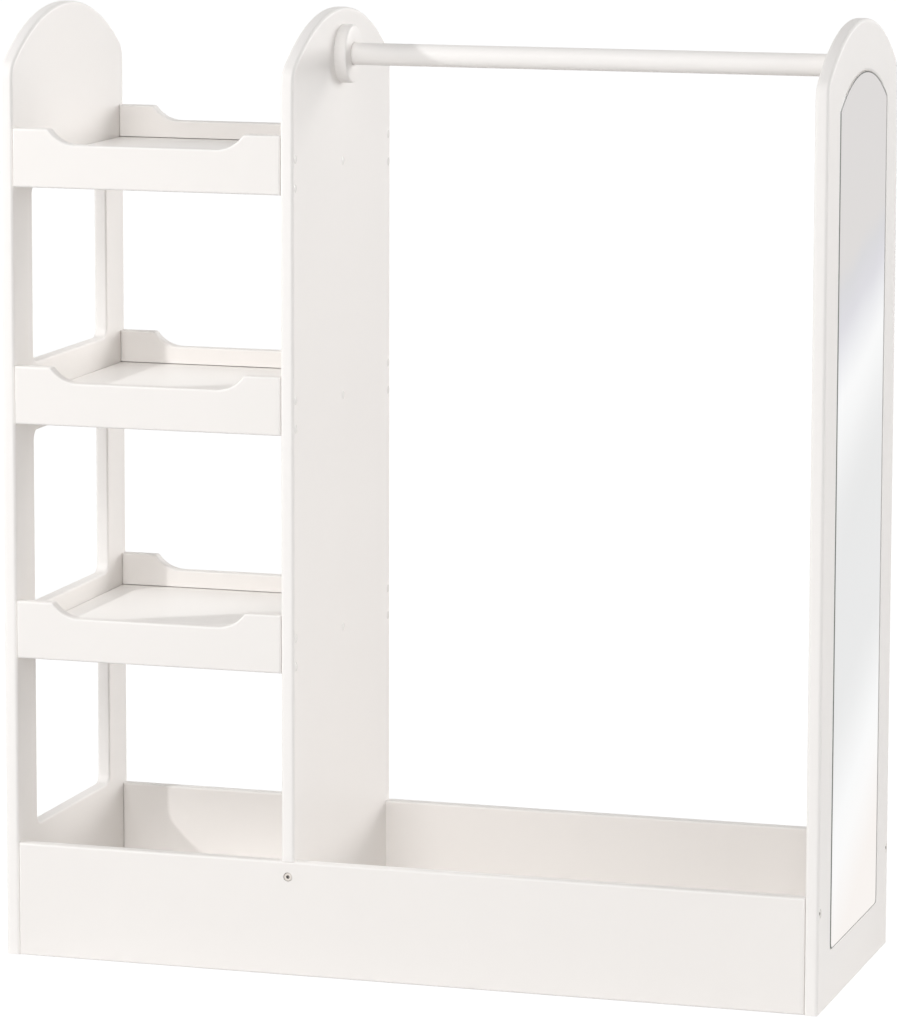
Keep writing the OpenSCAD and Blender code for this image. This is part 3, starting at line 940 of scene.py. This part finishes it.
# %% Rod
ROD_ENDS, ROD_RADIUS, ROD_ROUNDING = (-127.5, 469.5), 13, 1.5
(left_end, right_end), shoulder = ROD_ENDS, ROD_RADIUS - ROD_ROUNDING
rod_paint = paint("rod_lacquer", 0, dullness=0.10)
rod = turned("hanging_rod_piece", [
    (left_end, 0), (left_end, shoulder),
    *corner(left_end + ROD_ROUNDING, shoulder, ROD_ROUNDING, math.pi, -math.pi / 2)[1:],
    *corner(right_end - ROD_ROUNDING, shoulder, ROD_ROUNDING, math.pi / 2, -math.pi / 2),
    (right_end, 0)], 96)
dress(rod, rod_paint, "painted_rod", "rod", "hanging_rod")

# %% Flanges
def turn_and_move(piece, angle, x, y, z=0):
    """Turns a piece clockwise, seen from above, then moves it, all in its mesh."""
    take(piece)
    bpy.ops.mesh.select_all(action="SELECT")
    bpy.ops.transform.rotate(value=angle, orient_axis="Z", center_override=(0, 0, 0))
    bpy.ops.transform.translate(value=place(x, y, z))
    clear_bench()


left_flange = turned("left_rod_flange_piece", [
    (0, 2.2), (0, 34), *corner(11.5, 31.5, 2.5, math.pi / 2, -math.pi / 2), (14, 14.6),
    *corner(13.5, 14.1, 0.5, 0, -math.pi / 2)[1:], (13, 13.08), (4, 13.08), (4, 2.2), (0, 2.2)], 96)
right_flange = copy_of(left_flange, "right_rod_flange_piece")
turn_and_move(left_flange, 0, MIDDLE_RIGHT, 0)
turn_and_move(right_flange, math.pi, INNER, 0)
for piece, node in ((left_flange, "left_rod_flange"), (right_flange, "right_rod_flange")):
    dress(piece, paint_upright, "painted_rod", "unit", node)

# %% [markdown]
# ## Caps over the screws
#
# Thirty small plastic caps close the screw holes of the trays. One is made from a thin
# cylinder, with the rim of its outer face bevelled to a soft dome. The others are copies,
# joined because they are one part of the frame. Moulded plastic is glossier than the paint
# round it, and has the fine even grain of its mould.

# %% Screw cap
CAP_THICK = 1.5
clear_bench()
bpy.ops.mesh.primitive_cylinder_add(vertices=32, radius=5 * MM, depth=CAP_THICK * MM,
                                    location=place(-CAP_THICK / 2, 0, 0), rotation=(0, math.pi / 2, 0))
cap = bpy.context.object
bpy.ops.object.transform_apply(location=True, rotation=True, scale=True)
mesh = take(cap, "FACE")
for face in mesh.faces:
    face.select_set(face.normal.x > 0.9)
bmesh.update_edit_mesh(cap.data)
bpy.ops.mesh.bevel(offset=0.4 * MM, segments=3, affect="EDGES")
shade(cap)
tell(cap)


# %% All the caps
def join(pieces, name):
    """Makes one piece of several."""
    clear_bench()
    for piece in pieces:
        piece.select_set(True)
    bpy.context.view_layer.objects.active = pieces[0]
    bpy.ops.object.join()
    pieces[0].name = pieces[0].data.name = name
    return pieces[0]


caps = []
for x, angle in ((-OUTER, math.pi), (MIDDLE_RIGHT, 0)):
    for y, z in SCREW_PLACES:
        caps.append(copy_of(cap, "cap"))
        turn_and_move(caps[-1], angle, x, y, z)
bpy.data.objects.remove(cap)
caps = join(caps, "screw_caps_piece")
moulded, graph = new_finish("moulded_cap_plastic")
spot = graph.add("TexCoord", {}, {}, out=3)
grain = graph.add("TexNoise", {}, {"Vector": spot, "Scale": 2200.0, "Detail": 2.0})
cast = graph.add("TexNoise", {}, {"Vector": spot, "Scale": 60.0, "Detail": 1.0})
bump = graph.add("Bump", {}, {"Height": grain, "Distance": 0.000006, "Strength": 1.0})
surface(graph, {"Base Color": graph.mix(cast, (0.850, 0.826, 0.800, 1), (0.880, 0.854, 0.828, 1)),
                "Roughness": 0.20 + 0.10 * grain, "Normal": bump}, {"IOR": 1.49})
dress(caps, moulded, "cap_plastic", "unit", "screw_caps")

# %% [markdown]
# ## Metal, wood and foam
#
# Screws are turned steel under a thin plating, a little uneven in tone and with fine marks
# of the lathe. The dowels of beech and the black foam behind the mirror stay hidden once the
# unit stands, and keep the shapes of the frame.

# %% Steel
def steel(name, tone, rough):
    """Plated steel of a tone."""
    material, graph = new_finish(name)
    spot = graph.add("TexCoord", {}, {}, out=3)
    lathe = graph.add("TexNoise", {}, {"Vector": spot, "Scale": 1800.0, "Detail": 2.0})
    stain = graph.add("TexNoise", {}, {"Vector": spot, "Scale": 250.0, "Detail": 3.0})
    bump = graph.add("Bump", {}, {"Height": lathe, "Distance": 0.00002, "Strength": 1.0})
    surface(graph, {"Base Color": graph.mix(stain, (*[0.88 * c for c in tone], 1), (*tone, 1)),
                    "Roughness": rough + 0.12 * stain, "Normal": bump}, {"Metallic": 1.0})
    return material


zinc = steel("zinc_plated_steel", (0.62, 0.62, 0.60), 0.32)
nickel = steel("nickel_plated_steel", (0.86, 0.83, 0.79), 0.24)
print("steels:", zinc.name, nickel.name)

# %% [markdown]
# ### Connector screws
#
# Six screws hold the toy box together, and their flat heads are the only metal that shows.
# One is turned with a small chamfer round its head, and a six-sided cutter makes the socket
# for the key. The other five are copies, turned about the upright axis and moved.

# %% Connector screws
screw = turned("connector_screws_piece", [
    (0.5, 0), (0.5, 4.3), (1.0, 4.85), (5.2, 4.85), (5.5, 4.55), (5.5, 3),
    (48.9, 3), (49.5, 2.4), (49.5, 0)], 48, CONNECTOR_HEIGHT)
clear_bench()
KEY_RADIUS, SOCKET_DEPTH = 2.31, 4
bpy.ops.mesh.primitive_cylinder_add(vertices=6, radius=KEY_RADIUS * MM, depth=2 * SOCKET_DEPTH * MM,
                                    rotation=(0, math.pi / 2, 0), location=place(0, 0, CONNECTOR_HEIGHT))
cut(screw, bpy.context.object)
screw.data.materials.append(nickel)
# The faces inside the key socket get a dark steel: painted shade for the shadow inside the hole.
screw.data.materials.append(steel("shaded_socket", (0.30, 0.29, 0.28), 0.45))
for face in screw.data.polygons:
    along, *across = (face.center - place(0, 0, CONNECTOR_HEIGHT)) / MM
    inside = 0.7 < along < SOCKET_DEPTH + 0.2 and math.hypot(*across) < KEY_RADIUS + 0.09
    face.material_index = 1 if inside else 0
print("socket faces:", sum(face.material_index for face in screw.data.polygons))

screws = []
for x, y, quarters in ((-OUTER, -IN_BOARD, 0), (-OUTER, IN_BOARD, 0),
                       (OUTER, -IN_BOARD, 2), (OUTER, IN_BOARD, 2),
                       (MIDDLE_AXIS, -HALF_DEPTH, 3), (MIDDLE_AXIS, HALF_DEPTH, 1)):
    screws.append(copy_of(screw, "connector"))
    turn_and_move(screws[-1], quarters * math.pi / 2, x, y)
    print("screw at", [round(v / MM, 1) for v in screws[-1].data.vertices[0].co])
bpy.data.objects.remove(screw)
connectors = join(screws, "connector_screws_piece")
dress(connectors, None, "nickel_screws", "unit", "connector_screws")

# %% Beech and foam
beech, graph = new_finish("beech_dowel")
spot = graph.add("TexCoord", {}, {}, out=3)
along_grain = graph.add("Mapping", {}, {"Vector": spot, "Scale": (40, 400, 400)})
grain = graph.add("TexNoise", {}, {"Vector": along_grain, "Scale": 1.0, "Detail": 3.0})
bump = graph.add("Bump", {}, {"Height": grain, "Distance": 0.0001, "Strength": 1.0})
surface(graph, {"Base Color": graph.mix(grain, (0.50, 0.33, 0.19, 1), (0.68, 0.49, 0.31, 1)),
                "Roughness": 0.5 + 0.2 * grain, "Normal": bump}, {})

foam, graph = new_finish("black_foam")
spot = graph.add("TexCoord", {}, {}, out=3)
cells = graph.add("TexVoronoi", {}, {"Vector": spot, "Scale": 900.0})
bump = graph.add("Bump", {}, {"Height": cells, "Distance": 0.0003, "Strength": 1.0})
surface(graph, {"Base Color": graph.mix(cells, (0.05, 0.05, 0.055, 1), (0.12, 0.12, 0.125, 1)),
                "Roughness": 0.75 + 0.2 * cells, "Normal": bump}, {})

for node, material in (("flange_screws", zinc), ("tray_screws", zinc),
                       ("base_dowels", beech), ("mirror_tape", foam)):
    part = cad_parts[node]
    part.data.materials.clear()
    part.data.materials.append(material)
print("hidden parts finished")
